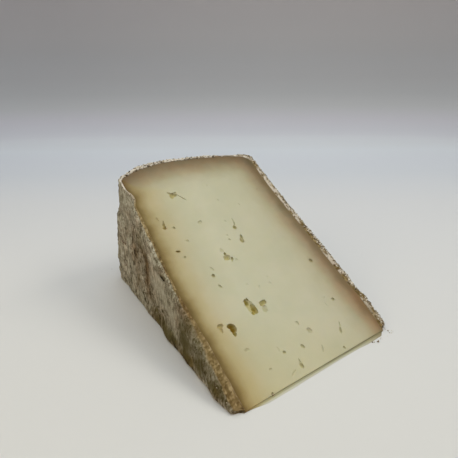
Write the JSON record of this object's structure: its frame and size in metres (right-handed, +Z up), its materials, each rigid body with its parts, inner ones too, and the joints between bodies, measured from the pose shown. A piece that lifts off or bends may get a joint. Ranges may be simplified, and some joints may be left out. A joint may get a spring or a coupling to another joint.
{
  "type": "goat tomme cheese wedge",
  "caption": "Wedge of aged goat tomme with a natural rind on three sides, cut from a wheel and lying on one cut face.",
  "frame": {"origin": "middle of the flat cut face that the wedge lies on", "axes": "+X along the wheel's axis, from the left rind face to the right one; +Y from the thin edge to the wheel's rim; +Z up"},
  "size_m": [0.0744, 0.1058, 0.0557],
  "materials": {
    "paste": "pale ivory-yellow cheese paste, smooth knife cut with a faint moist sheen, ochre-brown towards the rind",
    "rind": "dry, pebbly natural rind, matt, grey-brown with tan, olive and dark brown patches"
  },
  "bodies": {
    "root": {"cheese_wedge": "paste"}
  },
  "joints": []
}
